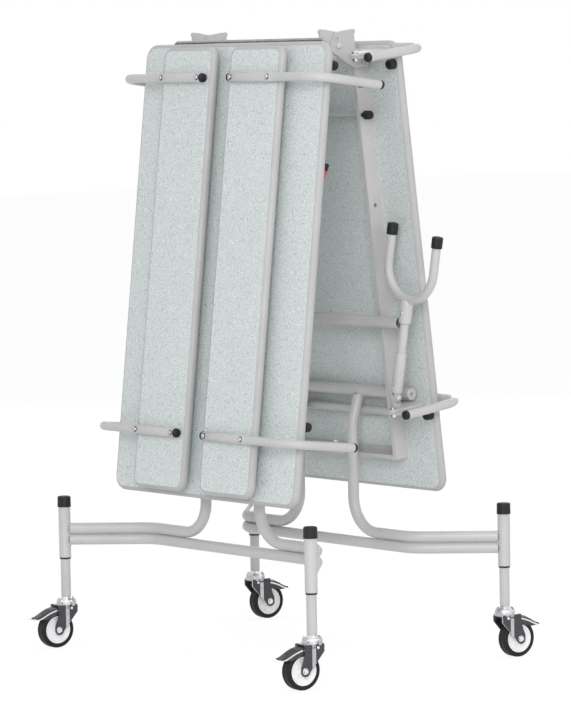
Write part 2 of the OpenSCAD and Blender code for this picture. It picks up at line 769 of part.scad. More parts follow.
// Puts a caster under its post, trailing outwards
module at_caster(rear, right) {
  base_end(rear) translate([(right ? 1 : -1) * (rear ? -1 : 1) * post_span / 2, -post_y, 0])
    rotate([0, 0, -swivel]) children();
}

axle_r = 5;
axle_z = wheel_d / 2;
cheek_x = wheel_w / 2 + 3;
cheek_t = 3;
crown_z = 118;
pedal_pin_y = 4;
pedal_pin_z = 108;
pedal_pin_r = 3;

// Swivel fork with its race, stud, cheeks, axle bolt and pedal pin
module caster_fork() {
  color(zinc) {
    difference() {
      union() {
        translate([0, 0, crown_z]) cylinder(r = stud_r, h = stem_h + stud_l - crown_z);
        translate([0, 0, crown_z]) cylinder(d = race_d, h = stem_h - piece_gap - crown_z);
        translate([-cheek_x - cheek_t, -34, crown_z - 4]) cube([2 * (cheek_x + cheek_t), 58, 4 + eps]);
        for (x = [cheek_x, -cheek_x - cheek_t]) translate([x, 0, 0]) rotate([90, 0, 90])
          linear_extrude(cheek_t) {
            polygon([[24, crown_z], [24, 98], [-24, 44], [-trail - 10, 44], [-trail - 12, 58],
                     [-34, 94], [-34, crown_z]]);
            translate([-trail, axle_z]) circle(13);
          }
      }
      translate([-60, -trail, axle_z]) rotate([0, 90, 0]) cylinder(r = axle_r + seat_gap, h = 120);
      translate([-60, pedal_pin_y, pedal_pin_z]) rotate([0, 90, 0])
        cylinder(r = pedal_pin_r + seat_gap, h = 120);
    }
    translate([0, -trail, axle_z]) rotate([0, 90, 0]) {
      translate([0, 0, -cheek_x - cheek_t - 1]) cylinder(r = axle_r, h = 2 * (cheek_x + cheek_t + 1));
      for (z = [-cheek_x - cheek_t - 6, cheek_x + cheek_t + seat_gap]) translate([0, 0, z])
        cylinder(r = 8.5, h = 6 - seat_gap, $fn = 6);
    }
    translate([-cheek_x - cheek_t, pedal_pin_y, pedal_pin_z]) rotate([0, 90, 0])
      cylinder(r = pedal_pin_r, h = 2 * (cheek_x + cheek_t));
  }
}

module on_axle() translate([0, -trail, axle_z]) rotate([0, 90, 0]) children();

// Tyre with rounded shoulders
module tyre() {
  r = wheel_d / 2;
  s = 6;
  color(black_rubber) on_axle() rotate_extrude($fn = 96) difference() {
    union() {
      translate([r - tyre_t, -wheel_w / 2 + s]) square([tyre_t, wheel_w - 2 * s]);
      translate([r - tyre_t, -wheel_w / 2]) square([tyre_t - s, wheel_w]);
      for (z = [-1, 1]) translate([r - s, z * (wheel_w / 2 - s)]) circle(s);
    }
  }
}

// Wheel centre with a dished web, a raised boss and the axle bore
module hub() {
  r = wheel_d / 2 - tyre_t - seat_gap;
  color(white_nylon) on_axle() difference() {
    cylinder(r = r, h = wheel_w - 2, center = true);
    for (m = [0, 1]) mirror([0, 0, m]) translate([0, 0, wheel_w / 2 - 6]) difference() {
      cylinder(r = r - 4, h = 10);
      translate([0, 0, -1]) cylinder(r = 12, h = 12);
    }
    cylinder(r = axle_r + running_gap, h = 2 * wheel_w, center = true);
  }
}

// Brake pedal: a curved cover over the wheel that ends in a toe plate
module brake_pedal() {
  w = 2 * (cheek_x - piece_gap - 1);
  color(dark_nylon) difference() {
    union() {
      translate([-w / 2, 0, 0]) rotate([90, 0, 90]) linear_extrude(w)
        polygon([[10, 113], [-20, 113], [-44, 111], [-70, 102], [-92, 90], [-118, 86],
                 [-118, 82], [-94, 84], [-74, 95], [-46, 106], [-20, 108.5], [10, 108.5]]);
      for (x = [-w / 2, w / 2 - 3]) translate([x, 0, 0]) rotate([90, 0, 90]) linear_extrude(3)
        polygon([[10, 113], [10, 101], [-4, 101], [-12, 104.5], [-12, 113]]);
    }
    translate([-60, pedal_pin_y, pedal_pin_z]) rotate([0, 90, 0])
      cylinder(r = pedal_pin_r + running_gap, h = 120);
  }
}

stand_half() top_board();  // front_top
stand_half() side_rails();  // front_rails
stand_half() cross_members(false);  // front_cross_members
stand_half() hinge_plates();  // front_hinge_plates
stand_half() arm_brackets(false);  // front_arm_brackets
stand_half() hardware(false);  // front_hardware
stand_half() buffers();  // front_buffers
stand_half() lock_bar();
stand_half() release_lever();
stand_half() side(true) bench_board(false);  // front_left_bench
stand_half() side(true) bench_arms(false);  // front_left_bench_arms
stand_half() side(true) arm_caps(false);  // front_left_arm_caps
stand_half() side(true) arm_bushes(false);  // front_left_arm_bushes
stand_half() side(false) bench_board(false);  // front_right_bench
stand_half() side(false) bench_arms(false);  // front_right_bench_arms
stand_half() side(false) arm_caps(false);  // front_right_arm_caps
stand_half() side(false) arm_bushes(false);  // front_right_arm_bushes
foot_tube(false);  // front_foot_tube
uprights(false);  // front_uprights
posts(false);  // front_posts
post_caps(false);  // front_post_caps
at_caster(false, false) caster_fork();  // front_left_fork
at_caster(false, false) tyre();  // front_left_tyre
at_caster(false, false) hub();  // front_left_hub
at_caster(false, false) brake_pedal();  // front_left_pedal
at_caster(false, true) caster_fork();  // front_right_fork
at_caster(false, true) tyre();  // front_right_tyre
at_caster(false, true) hub();  // front_right_hub
at_caster(false, true) brake_pedal();  // front_right_pedal
stand_half(true) top_board();  // rear_top
stand_half(true) side_rails();  // rear_rails
stand_half(true) cross_members(true);  // rear_cross_members
stand_half(true) hinge_plates();  // rear_hinge_plates
stand_half(true) arm_brackets(true);  // rear_arm_brackets
stand_half(true) hardware(true);  // rear_hardware
stand_half(true) buffers();  // rear_buffers
stand_half(true) side(false) bench_board(true);  // rear_left_bench
stand_half(true) side(false) bench_arms(true);  // rear_left_bench_arms
stand_half(true) side(false) arm_caps(true);  // rear_left_arm_caps
stand_half(true) side(false) arm_bushes(true);  // rear_left_arm_bushes
stand_half(true) side(true) bench_board(true);  // rear_right_bench
stand_half(true) side(true) bench_arms(true);  // rear_right_bench_arms
stand_half(true) side(true) arm_caps(true);  // rear_right_arm_caps
stand_half(true) side(true) arm_bushes(true);  // rear_right_arm_bushes
stand_half(true) prop();  // rear_prop
stand_half(true) prop_tips();  // rear_prop_tips
foot_tube(true);  // rear_foot_tube
uprights(true);  // rear_uprights
posts(true);  // rear_posts
post_caps(true);  // rear_post_caps
at_caster(true, false) caster_fork();  // rear_left_fork
at_caster(true, false) tyre();  // rear_left_tyre
at_caster(true, false) hub();  // rear_left_hub
at_caster(true, false) brake_pedal();  // rear_left_pedal
at_caster(true, true) caster_fork();  // rear_right_fork
at_caster(true, true) tyre();  // rear_right_tyre
at_caster(true, true) hub();  // rear_right_hub
at_caster(true, true) brake_pedal();  // rear_right_pedal
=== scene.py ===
import math

import bmesh
import bpy
from mathutils import Matrix, Vector


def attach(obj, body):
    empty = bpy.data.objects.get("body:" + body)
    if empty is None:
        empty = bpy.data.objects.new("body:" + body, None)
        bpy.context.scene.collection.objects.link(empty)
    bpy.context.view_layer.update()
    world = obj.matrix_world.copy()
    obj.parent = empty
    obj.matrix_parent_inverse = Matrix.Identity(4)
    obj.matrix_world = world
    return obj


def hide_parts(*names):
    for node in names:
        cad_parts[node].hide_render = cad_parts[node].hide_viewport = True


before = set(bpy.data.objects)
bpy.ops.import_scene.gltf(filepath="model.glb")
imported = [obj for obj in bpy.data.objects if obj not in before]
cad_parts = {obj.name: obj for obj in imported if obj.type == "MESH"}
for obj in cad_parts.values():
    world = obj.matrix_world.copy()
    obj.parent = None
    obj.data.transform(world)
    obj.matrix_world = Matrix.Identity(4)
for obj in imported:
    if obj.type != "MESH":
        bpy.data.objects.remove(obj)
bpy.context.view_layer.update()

# camera, floor and light

CAMERA_AT = (7.7574, -6.6086, 1.6048)
CAMERA_TURN = (49.45, 4.52, -1.04)
LAMP_SIZE = 3.0
LAMP_TARGET = (0, 0, 0.8)
LAMPS = (
    ("key_lamp", (5.4, -5.2, 3.4), 225),
    ("right_lamp", (6.5, -0.5, 2.6), 45),
    ("top_lamp", (0.5, 0.5, 5.5), 28),
    ("back_lamp", (-4.5, 5.5, 2.4), 80),
)
ROOM_LIGHT, WHITE = 0.62, 1.0
FLOOR_REACH = 30
FLOOR_GLOW, GLOW_SHARE = 1.08, 0.80


def maths(tree, operation, a, b):
    """A Math node; a and b are numbers or the outputs of other nodes."""
    node = tree.nodes.new("ShaderNodeMath")
    node.operation = operation
    for slot, value in ((0, a), (1, b)):
        if isinstance(value, (int, float)):
            node.inputs[slot].default_value = value
        else:
            tree.links.new(value, node.inputs[slot])
    return node.outputs[0]


def aim_camera():
    """Camera at the photograph's angle: long lens, almost level, turned a little about its own axis."""
    az, el, roll = (math.radians(d) for d in CAMERA_TURN)
    right = Vector((math.cos(az), math.sin(az), 0))
    up = Vector((-math.sin(az) * math.sin(el), math.cos(az) * math.sin(el), math.cos(el)))
    c, s = math.cos(roll), math.sin(roll)
    side, top, back = c * right + s * up, c * up - s * right, right.cross(up)
    data = bpy.data.cameras.new("camera")
    data.sensor_width = 36
    data.lens = 189.3
    data.clip_end = 100
    cam = bpy.data.objects.new("camera", data)
    bpy.context.scene.collection.objects.link(cam)
    place = Matrix((side, top, back)).transposed().to_4x4()
    place.translation = CAMERA_AT
    cam.matrix_world = place
    bpy.context.scene.camera = cam


def soft_lamp(name, spot, watts):
    """Large square lamp that points at the middle of the object."""
    data = bpy.data.lights.new(name, "AREA")
    data.shape = "SQUARE"
    data.size = LAMP_SIZE
    data.energy = watts
    lamp = bpy.data.objects.new(name, data)
    bpy.context.scene.collection.objects.link(lamp)
    lamp.location = spot
    lamp.rotation_mode = "QUATERNION"
    lamp.rotation_quaternion = (Vector(LAMP_TARGET) - Vector(spot)).to_track_quat("-Z", "Y")


def seen_directly(tree):
    """1 for rays from the camera or in gloss or glass, 0 for rays that only light a thing."""
    path = tree.nodes.new("ShaderNodeLightPath").outputs
    first = maths(tree, "MAXIMUM", path["Is Camera Ray"], path["Is Glossy Ray"])
    return maths(tree, "MAXIMUM", first, path["Is Transmission Ray"])


def mix_into(tree, output, share, a, b):
    """Output node fed by a mix of two shaders."""
    mix = tree.nodes.new("ShaderNodeMixShader")
    for socket, source in zip(mix.inputs, (share, a, b)):
        tree.links.new(source, socket)
    tree.links.new(mix.outputs[0], tree.nodes.new(output).inputs[0])


def glow_of(tree, kind, colour, strength):
    """Output of a shader that sends out light by itself."""
    node = tree.nodes.new(kind)
    node.inputs["Color"].default_value = colour
    node.inputs["Strength"].default_value = strength
    return node.outputs[0]


def make_surroundings():
    """Room light for the object, and plain white where the surroundings are seen."""
    world = bpy.data.worlds.new("studio")
    bpy.context.scene.world = world
    world.use_nodes = True
    tree = world.node_tree
    tree.nodes.clear()
    room = glow_of(tree, "ShaderNodeBackground", (0.97, 0.985, 1, 1), ROOM_LIGHT)
    white = glow_of(tree, "ShaderNodeBackground", (1, 1, 1, 1), WHITE)
    mix_into(tree, "ShaderNodeOutputWorld", seen_directly(tree), room, white)


def make_floor():
    """Pale floor, partly glowing where it is seen, that keeps a soft shadow."""
    r = FLOOR_REACH
    mesh = bpy.data.meshes.new("floor")
    mesh.from_pydata([(-r, -r, 0), (r, -r, 0), (r, r, 0), (-r, r, 0)], [], [(0, 1, 2, 3)])
    floor = bpy.data.objects.new("floor", mesh)
    bpy.context.scene.collection.objects.link(floor)
    mat = bpy.data.materials.new("studio_floor")
    mat.use_nodes = True
    tree = mat.node_tree
    tree.nodes.clear()
    matt = tree.nodes.new("ShaderNodeBsdfDiffuse")
    matt.inputs["Color"].default_value = (0.93, 0.93, 0.93, 1)
    glow = glow_of(tree, "ShaderNodeEmission", (1, 1, 1, 1), FLOOR_GLOW)
    share = maths(tree, "MULTIPLY", seen_directly(tree), GLOW_SHARE)
    mix_into(tree, "ShaderNodeOutputMaterial", share, matt.outputs[0], glow)
    mesh.materials.append(mat)


bpy.context.scene.view_settings.view_transform = "Standard"
aim_camera()
make_surroundings()
make_floor()
for lamp_name, spot, watts in LAMPS:
    soft_lamp(lamp_name, spot, watts)

# finishes


def shader_group(name, inputs, outputs):
    """Starts a shared surface effect; returns the group, its node maker and its two end nodes."""
    group = bpy.data.node_groups.new(name, "ShaderNodeTree")
    for label, kind, value in inputs:
        socket = group.interface.new_socket(label, in_out="INPUT", socket_type="NodeSocket" + kind)
        socket.default_value = value
    for label, kind in outputs:
        group.interface.new_socket(label, in_out="OUTPUT", socket_type="NodeSocket" + kind)
    return group, group.nodes.new("NodeGroupInput"), group.nodes.new("NodeGroupOutput")


def blend_colours(tree, share, a, b):
    """Colour a where the share is 0, colour b where it is 1."""
    node = tree.nodes.new("ShaderNodeMix")
    node.data_type = "RGBA"
    tree.links.new(share, node.inputs["Factor"])
    tree.links.new(a, node.inputs["A"])
    tree.links.new(b, node.inputs["B"])
    return node.outputs["Result"]


def object_noise(tree, scale, detail=2.0, stretch=None):
    """Noise fixed to the piece itself, its scale in turns a metre."""
    place = tree.nodes.new("ShaderNodeTexCoord").outputs["Object"]
    if stretch:
        shape = tree.nodes.new("ShaderNodeMapping")
        shape.inputs["Scale"].default_value = stretch
        tree.links.new(place, shape.inputs["Vector"])
        place = shape.outputs["Vector"]
    noise = tree.nodes.new("ShaderNodeTexNoise")
    noise.inputs["Detail"].default_value = detail
    tree.links.new(place, noise.inputs["Vector"])
    if isinstance(scale, (int, float)):
        noise.inputs["Scale"].default_value = scale
    else:
        tree.links.new(scale, noise.inputs["Scale"])
    return noise.outputs["Fac"]


def ramp(tree, value, low, high, out_low=0.0, out_high=1.0):
    """Stretches the values from low to high over the whole range of the output."""
    node = tree.nodes.new("ShaderNodeMapRange")
    tree.links.new(value, node.inputs["Value"])
    for label, v in (("From Min", low), ("From Max", high), ("To Min", out_low), ("To Max", out_high)):
        if isinstance(v, (int, float)):
            node.inputs[label].default_value = v
        else:
            tree.links.new(v, node.inputs[label])
    return node.outputs["Result"]


def make_flecks():
    """Printed decor of the laminate: a pale ground with fine darker and lighter flecks."""
    g, start, end = shader_group(
        "laminate_flecks",
        [("Ground", "Color", (0.6, 0.6, 0.6, 1)), ("Dark", "Color", (0.4, 0.4, 0.4, 1)),
         ("Light", "Color", (0.8, 0.8, 0.8, 1)), ("Flecks", "Float", 620.0), ("Clouds", "Float", 160.0)],
        [("Color", "Color"), ("Mask", "Float")])
    small = ramp(g, object_noise(g, start.outputs["Flecks"], 3.0), 0.505, 0.635)
    broad = ramp(g, object_noise(g, start.outputs["Clouds"], 4.0), 0.40, 0.66)
    pale = ramp(g, object_noise(g, maths(g, "MULTIPLY", start.outputs["Flecks"], 0.7), 2.0), 0.56, 0.70)
    mask = maths(g, "MULTIPLY", small, ramp(g, broad, 0.0, 1.0, 0.35, 1.0))
    first = blend_colours(g, mask, start.outputs["Ground"], start.outputs["Dark"])
    g.links.new(blend_colours(g, pale, first, start.outputs["Light"]), end.inputs["Color"])
    g.links.new(mask, end.inputs["Mask"])
    return g


def make_patches():
    """Slow change of tone over a surface, and the same value for its roughness."""
    g, start, end = shader_group(
        "tone_patches",
        [("Base", "Color", (0.5, 0.5, 0.5, 1)), ("Other", "Color", (0.4, 0.4, 0.4, 1)),
         ("Scale", "Float", 20.0), ("Rough Low", "Float", 0.4), ("Rough High", "Float", 0.5)],
        [("Color", "Color"), ("Roughness", "Float"), ("Mask", "Float")])
    value = ramp(g, object_noise(g, start.outputs["Scale"], 5.0), 0.35, 0.68)
    fine = ramp(g, object_noise(g, maths(g, "MULTIPLY", start.outputs["Scale"], 11.0), 3.0), 0.3, 0.7)
    both = maths(g, "ADD", maths(g, "MULTIPLY", value, 0.7), maths(g, "MULTIPLY", fine, 0.3))
    g.links.new(blend_colours(g, both, start.outputs["Base"], start.outputs["Other"]),
                end.inputs["Color"])
    g.links.new(ramp(g, both, 0.0, 1.0, start.outputs["Rough Low"], start.outputs["Rough High"]),
                end.inputs["Roughness"])
    g.links.new(both, end.inputs["Mask"])
    return g


def make_grain():
    """Fine relief of a sprayed, moulded or pressed skin."""
    g, start, end = shader_group(
        "skin_grain", [("Scale", "Float", 900.0), ("Depth", "Float", 0.1), ("Height", "Float", 0.0002)],
        [("Normal", "Vector")])
    bump = g.nodes.new("ShaderNodeBump")
    g.links.new(start.outputs["Depth"], bump.inputs["Strength"])
    g.links.new(start.outputs["Height"], bump.inputs["Distance"])
    g.links.new(object_noise(g, start.outputs["Scale"], 3.0), bump.inputs["Height"])
    g.links.new(bump.outputs["Normal"], end.inputs["Normal"])
    return g


def make_rubs():
    """Faint long rub marks, as handling leaves on metal and laminate."""
    g, start, end = shader_group(
        "rub_marks", [("Scale", "Float", 60.0), ("Share", "Float", 0.5)], [("Mask", "Float")])
    along = object_noise(g, start.outputs["Scale"], 6.0, (1, 14, 1))
    across = object_noise(g, start.outputs["Scale"], 6.0, (12, 1, 2))
    lines = maths(g, "MAXIMUM", ramp(g, along, 0.60, 0.72), ramp(g, across, 0.60, 0.72))
    where = ramp(g, object_noise(g, maths(g, "MULTIPLY", start.outputs["Scale"], 0.1), 2.0), 0.45, 0.62)
    g.links.new(maths(g, "MULTIPLY", maths(g, "MULTIPLY", lines, where), start.outputs["Share"]),
                end.inputs["Mask"])
    return g


flecks, patches, grain, rubs = make_flecks(), make_patches(), make_grain(), make_rubs()


def use_group(tree, group, **values):
    """Places a shared effect in a material, with this material's own values."""
    node = tree.nodes.new("ShaderNodeGroup")
    node.node_tree = group
    for label, value in values.items():
        node.inputs[label.replace("_", " ")].default_value = value
    return node


def rgba(r, g, b):
    return (r, g, b, 1)


def new_finish(name, metal=0.0, **fixed):
    """A material, its node tree and its shader; fixed values go on the shader's own sockets."""
    mat = bpy.data.materials.new(name)
    mat.use_nodes = True
    shader = mat.node_tree.nodes["Principled BSDF"]
    shader.inputs["Metallic"].default_value = metal
    for label, value in fixed.items():
        shader.inputs[label.replace("_", " ")].default_value = value
    return mat, mat.node_tree, shader


def plain_finish(name, base, other, scale, rough, skin, metal=0.0, rub=0.0, **fixed):
    """A finish with slow tone patches, a fine skin and, where rub is given, faint rub marks."""
    mat, tree, shader = new_finish(name, metal, **fixed)
    tone = use_group(tree, patches, Base=rgba(*base), Other=rgba(*other), Scale=scale,
                     Rough_Low=rough[0], Rough_High=rough[1])
    colour, roughness = tone.outputs["Color"], tone.outputs["Roughness"]
    if rub:
        marks = use_group(tree, rubs, Scale=45.0, Share=rub)
        roughness = maths(tree, "ADD", roughness, marks.outputs["Mask"])
    tree.links.new(colour, shader.inputs["Base Color"])
    tree.links.new(roughness, shader.inputs["Roughness"])
    relief = use_group(tree, grain, Scale=skin[0], Depth=skin[1], Height=skin[2])
    tree.links.new(relief.outputs["Normal"], shader.inputs["Normal"])
    return mat


def laminate_finish():
    """Speckled decor with slow tone changes, faint rub marks and a fine pressed texture."""
    mat, tree, shader = new_finish("speckled_laminate", Specular_IOR_Level=0.4)
    decor = use_group(tree, flecks, Ground=rgba(0.675, 0.715, 0.706), Dark=rgba(0.30, 0.385, 0.38),
                      Light=rgba(0.86, 0.875, 0.865), Flecks=330.0, Clouds=110.0)
    tone = use_group(tree, patches, Base=rgba(1, 1, 1), Other=rgba(0.965, 0.97, 0.97), Scale=3.0,
                     Rough_Low=0.40, Rough_High=0.50)
    shade = tree.nodes.new("ShaderNodeMix")
    shade.data_type, shade.blend_type = "RGBA", "MULTIPLY"
    shade.inputs["Factor"].default_value = 1
    tree.links.new(decor.outputs["Color"], shade.inputs["A"])
    tree.links.new(tone.outputs["Color"], shade.inputs["B"])
    tree.links.new(shade.outputs["Result"], shader.inputs["Base Color"])
    marks = use_group(tree, rubs, Scale=25.0, Share=0.12)
    tree.links.new(maths(tree, "ADD", tone.outputs["Roughness"], marks.outputs["Mask"]),
                   shader.inputs["Roughness"])
    relief = use_group(tree, grain, Scale=1400.0, Depth=0.08, Height=0.0001)
    tree.links.new(relief.outputs["Normal"], shader.inputs["Normal"])
    return mat


laminate = laminate_finish()
edge_band = plain_finish("moulded_edge_band", (0.50, 0.495, 0.495), (0.45, 0.445, 0.445), 12,
                         (0.42, 0.52), (700, 0.10, 0.0002))
powder = plain_finish("grey_powder_coat", (0.575, 0.562, 0.558), (0.53, 0.517, 0.515), 9, (0.36, 0.46),
                      (850, 0.16, 0.0003), rub=0.08, Coat_Weight=0.15, Coat_Roughness=0.3)
zinc = plain_finish("zinc_plate", (0.60, 0.61, 0.63), (0.44, 0.45, 0.47), 60, (0.26, 0.42),
                    (500, 0.12, 0.0002), metal=1.0, rub=0.2)
bright = plain_finish("polished_nickel", (0.80, 0.81, 0.83), (0.70, 0.71, 0.73), 40, (0.10, 0.18),
                      (300, 0.05, 0.0001), metal=1.0, rub=0.1)
dark_steel = plain_finish("oiled_steel", (0.42, 0.42, 0.43), (0.32, 0.32, 0.33), 50, (0.22, 0.32),
                          (600, 0.10, 0.0002), metal=1.0, rub=0.15)
rubber = plain_finish("black_rubber", (0.009, 0.009, 0.010), (0.015, 0.015, 0.016), 40, (0.48, 0.62),
                      (1200, 0.20, 0.0003), Specular_IOR_Level=0.35)
tread = plain_finish("tyre_rubber", (0.010, 0.010, 0.011), (0.018, 0.018, 0.018), 55, (0.50, 0.64),
                     (900, 0.15, 0.0003), Specular_IOR_Level=0.25)
white_nylon = plain_finish("white_nylon", (0.94, 0.94, 0.94), (0.87, 0.87, 0.875), 50, (0.34, 0.44),
                           (1000, 0.12, 0.0002), Subsurface_Weight=0.08, Subsurface_Scale=0.003)
dark_nylon = plain_finish("dark_nylon", (0.050, 0.050, 0.054), (0.036, 0.036, 0.040), 45, (0.36, 0.48),
                          (1300, 0.18, 0.0002))
red_plastic = plain_finish("red_grip", (0.72, 0.060, 0.045), (0.60, 0.045, 0.035), 40, (0.30, 0.42),
                           (1100, 0.12, 0.0002))

# places, in millimetres

FOLD_ANGLE = math.radians(83.1)
FOLD_H = 1640
TOP_BOX = ((-380, -1221, 105), (380, -1, 130))
SEAT_BOX = ((33, -1207, 148), (247, -15, 173))
BOARD_T = 25
# bench arms: height over the boards, place of the down leg and its end, pivot bolt, tube radii
ARM_Z, ARM_X, ARM_END = 185.55, 415, -24.6
ARM_PIVOT = (352, -16.6)
ARM_R, SLEEVE_R = 12, 12.5
# lock bar and lever
LOCK_X, LOCK_PIVOT_Y, LOCK_Z = 311, -76, 83
LEVER_FOOT, LEVER_TIP = Vector((272, -520, 80)), Vector((302, -313, 38))
# prop: foot pin, and the way its tube leans
PROP_PIVOT = (-325, -949.6, 22)
PROP_LEAN = Vector((-math.tan(math.radians(11.4)), 1, math.tan(math.radians(6.4)))).normalized()
FORK_X = 86
# base frames: posts, bends of the foot tubes, uprights and pivot tube
POST_X, POST_Y = 518, -342
BEND_X, BEND_Y = 345, -168
UPRIGHT_X = 112
LOW_TUBE_Z, HIGH_TUBE_Z = 297, 327.6
PIVOT_Y, PIVOT_Z, PIVOT_REACH = -196.4, 707.8, 322
FOOT_R, BEND_R = 15, 90
# casters: the wheel trails towards -Y, and its axle runs along X
SWIVEL = math.radians(-8)
AXLE_Y, AXLE_Z = -36, 50


def move(x=0, y=0, z=0):
    return Matrix.Translation((x, y, z))


def spin(degrees, axis):
    return Matrix.Rotation(math.radians(degrees), 4, axis)


def base_place(rear):
    """Millimetres to metres; the rear base is the front one turned half round."""
    return spin(180 if rear else 0, "Z") @ Matrix.Scale(0.001, 4)


def half_place(rear):
    """Flat frame of a half: -Y is the distance from the fold, Z the height of the open table."""
    return base_place(rear) @ move(z=FOLD_H) @ Matrix.Rotation(FOLD_ANGLE, 4, "X")


def bench_place(rear, left):
    """A bench group is drawn on the right of its half, and mirrored where it hangs on the left."""
    return half_place(rear) @ Matrix.Diagonal((-1 if left != rear else 1, 1, 1, 1))


def caster_place(rear, right):
    """Place of a caster on the floor, under its post."""
    side = (1 if right else -1) * (-1 if rear else 1)
    return base_place(rear) @ move(side * POST_X, POST_Y) @ Matrix.Rotation(SWIVEL, 4, "Z")


def along(a, b):
    """Place whose Z runs from a towards b."""
    way = (Vector(b) - Vector(a)).normalized()
    return Matrix.Translation(a) @ way.to_track_quat("Z", "Y").to_matrix().to_4x4()


def side_view(place, x=0):
    """Place for a plate that is cut in side view, its outline in Y and Z, and its thickness from x."""
    return place @ move(x) @ spin(90, "Y") @ spin(90, "Z")


def end_of(rear):
    return "rear" if rear else "front"


def arm_places(rear):
    """Distances of a half's bench arms from the fold."""
    return (28, 979) if rear else (100, 1051)


def prop_place():
    """Place at the prop's pin, with Z along its tube."""
    across = Vector((0, 0, 1)).cross(PROP_LEAN).normalized()
    turn = Matrix((across, PROP_LEAN.cross(across), PROP_LEAN)).transposed().to_4x4()
    return move(*PROP_PIVOT) @ turn


# shaping tools


def join_rings(bm, a, b, mat=0):
    """Skins the space between two rings of points; a ring of one point is a tip."""
    n = max(len(a), len(b))
    for i in range(n):
        j = (i + 1) % n
        if len(a) == 1:
            face = bm.faces.new((a[0], b[j], b[i]))
        elif len(b) == 1:
            face = bm.faces.new((a[i], a[j], b[0]))
        else:
            face = bm.faces.new((a[i], a[j], b[j], b[i]))
        face.material_index = mat


def turned(bm, place, profile, sides=48, closed=False):
    """Round piece turned about its own Z; the profile is (radius, height) from one end to the other."""
    rings = []
    for r, h in profile:
        turns = 1 if r < 1e-6 else sides
        rings.append([bm.verts.new(place @ Vector((r * math.cos(2 * math.pi * k / turns),
                                                   r * math.sin(2 * math.pi * k / turns), h)))
                      for k in range(turns)])
    pairs = list(zip(rings, rings[1:]))
    if closed:
        pairs.append((rings[-1], rings[0]))
    for a, b in pairs:
        if len(a) > 1 or len(b) > 1:
            join_rings(bm, a, b)


def both_sides(half):
    """Ring-shaped profile from one half of it, mirrored in the plane of a wheel."""
    return half + [(r, -h) for r, h in reversed(half[1:-1])]


def rod_profile(r, h0, h1, soft=0.8):
    """Solid round bar with softened rims."""
    return [(0, h0), (r - soft, h0), (r - soft * 0.3, h0 + soft * 0.3), (r, h0 + soft),
            (r, h1 - soft), (r - soft * 0.3, h1 - soft * 0.3), (r - soft, h1), (0, h1)]


def bent_path(points, radius, steps=12):
    """Line through the points with each inner corner rounded to the bend radius."""
    points = [Vector(p) for p in points]
    path = [points[0]]
    for before, corner, after in zip(points, points[1:], points[2:]):
        a, b = (before - corner).normalized(), (after - corner).normalized()
        turn = math.pi - a.angle(b)
        back = radius * math.tan(turn / 2)
        middle = corner + (a + b).normalized() * (radius / math.cos(turn / 2))
        start, end = corner + a * back - middle, corner + b * back - middle
        axis = start.cross(end).normalized()
        count = max(3, round(steps * turn / (math.pi / 2)))
        path += [middle + Matrix.Rotation(turn * k / count, 3, axis) @ start for k in range(count + 1)]
    return path + [points[-1]]


def swept(bm, place, path, radius, sides=32, closed=False):
    """Round bar along a path; radius is one number, or one for each point."""
    path = [Vector(p) for p in path]
    n = len(path)
    radii = radius if isinstance(radius, (list, tuple)) else [radius] * n
    ways = []
    for i in range(n):
        a = path[i - 1] if closed or i else path[0]
        b = path[(i + 1) % n] if closed or i < n - 1 else path[-1]
        ways.append((b - a).normalized())
    across = ways[0].orthogonal().normalized()
    rings = []
    for p, way, r in zip(path, ways, radii):
        across = (across - way * across.dot(way)).normalized()
        up = way.cross(across)
        rings.append([bm.verts.new(place @ (p + r * (math.cos(2 * math.pi * k / sides) * across
                                                      + math.sin(2 * math.pi * k / sides) * up)))
                      for k in range(sides)])
    for a, b in zip(rings, rings[1:] + ([rings[0]] if closed else [])):
        join_rings(bm, a, b)
    if not closed:
        bm.faces.new(rings[0])
        bm.faces.new(rings[-1])


def arc(cx, cy, r, start, end, steps=12):
    """Points on part of a circle, between two angles in degrees."""
    angles = [math.radians(start + (end - start) * k / steps) for k in range(steps + 1)]
    return [(cx + r * math.cos(a), cy + r * math.sin(a)) for a in angles]


def cut_plate(bm, place, outline, thick, holes=()):
    """Flat plate cut to an outline in its own XY, with round holes (x, y, radius)."""
    loops, edges = [], []
    for loop in [outline] + [arc(x, y, r, 0, 345, 23) for x, y, r in holes]:
        ring = [bm.verts.new((p[0], p[1], 0)) for p in loop]
        edges += [bm.edges.new((a, b)) for a, b in zip(ring, ring[1:] + ring[:1])]
        loops.append(ring)
    fill = bmesh.ops.triangle_fill(bm, edges=edges, use_beauty=True)
    # the raised side and the rim, in the same order on every run
    raised = {v: bm.verts.new((v.co.x, v.co.y, thick)) for ring in loops for v in ring}
    for face in [g for g in fill["geom"] if isinstance(g, bmesh.types.BMFace)]:
        bm.faces.new([raised[v] for v in face.verts])
    for ring in loops:
        join_rings(bm, ring, [raised[v] for v in ring])
    bmesh.ops.transform(bm, matrix=place, verts=list(raised) + list(raised.values()))


def hexagon_head(bm, place, across_corners, h0, h1):
    """Hexagon nut or bolt head with its corners chamfered."""
    r, soft = across_corners, 0.12 * across_corners
    rings = []
    for radius, h in ((r * 0.86, h0), (r, h0 + soft * 0.4), (r, h1 - soft), (r * 0.86, h1)):
        rings.append([bm.verts.new(place @ Vector((radius * math.cos(math.pi * k / 3),
                                                   radius * math.sin(math.pi * k / 3), h)))
                      for k in range(6)])
    for a, b in zip(rings, rings[1:]):
        join_rings(bm, a, b)
    bm.faces.new(rings[0])
    bm.faces.new(rings[-1])


